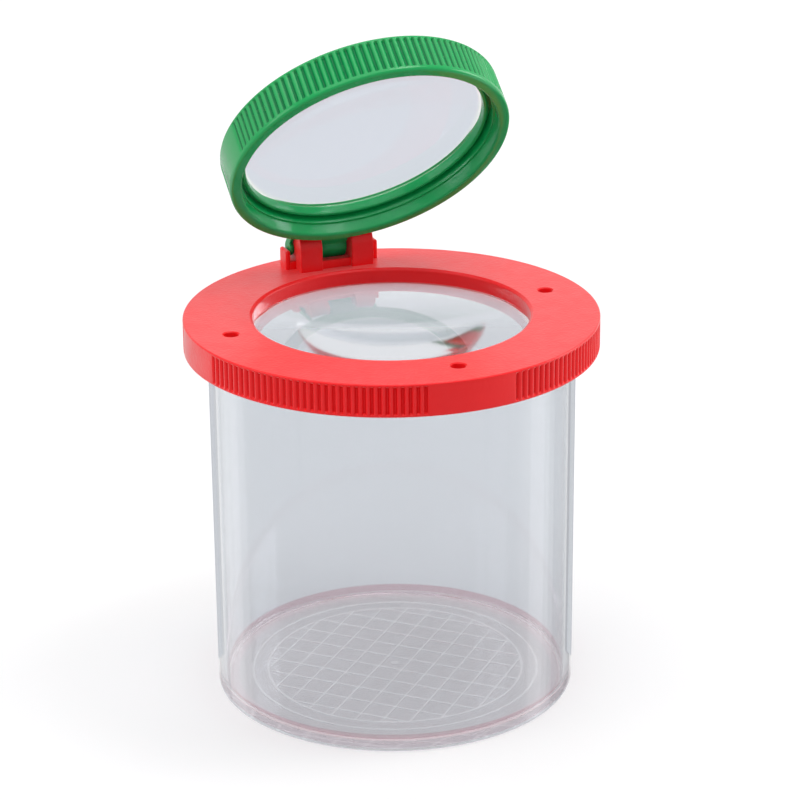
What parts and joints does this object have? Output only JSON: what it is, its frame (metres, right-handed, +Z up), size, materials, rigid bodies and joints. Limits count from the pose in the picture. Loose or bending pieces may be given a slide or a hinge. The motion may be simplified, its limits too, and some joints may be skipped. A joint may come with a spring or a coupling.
{
  "type": "bug catcher jar",
  "caption": "Clear viewing jar with a measuring grid moulded in its floor, a push-on lid holding a magnifying lens and air holes, and a hinged ring with a second lens.",
  "frame": {"origin": "middle of the cup's foot, on the surface that the jar stands on", "axes": "+Z up; +Y towards the hinge of the swing ring; +X towards the air hole on the right when seen from the side opposite the hinge"},
  "size_m": [0.0798, 0.0798, 0.1302],
  "materials": {
    "clear_plastic": "clear moulded polystyrene, polished",
    "red_plastic": "moulded polypropylene, fine grain on top, ribbed edge",
    "lens_plastic": "clear acrylic, polished",
    "green_plastic": "moulded polypropylene, smooth, ribbed edge"
  },
  "bodies": {
    "jar": {"jar_cup": "clear_plastic"},
    "lid": {"lid": "red_plastic", "lid_lens": "lens_plastic"},
    "magnifier": {"swing_ring": "green_plastic", "swing_lens": "lens_plastic"}
  },
  "joints": [
    {"name": "lid_lift", "type": "slide", "parent": "jar", "child": "lid", "axis": [0, 0, 1], "range_m": [0, 0.03]},
    {"name": "magnifier_swing", "type": "hinge", "parent": "lid", "child": "magnifier", "pos_m": [0, 0.0343, 0.07987], "axis": [-1, 0, 0], "range_deg": [-50.1, 129.9]}
  ]
}
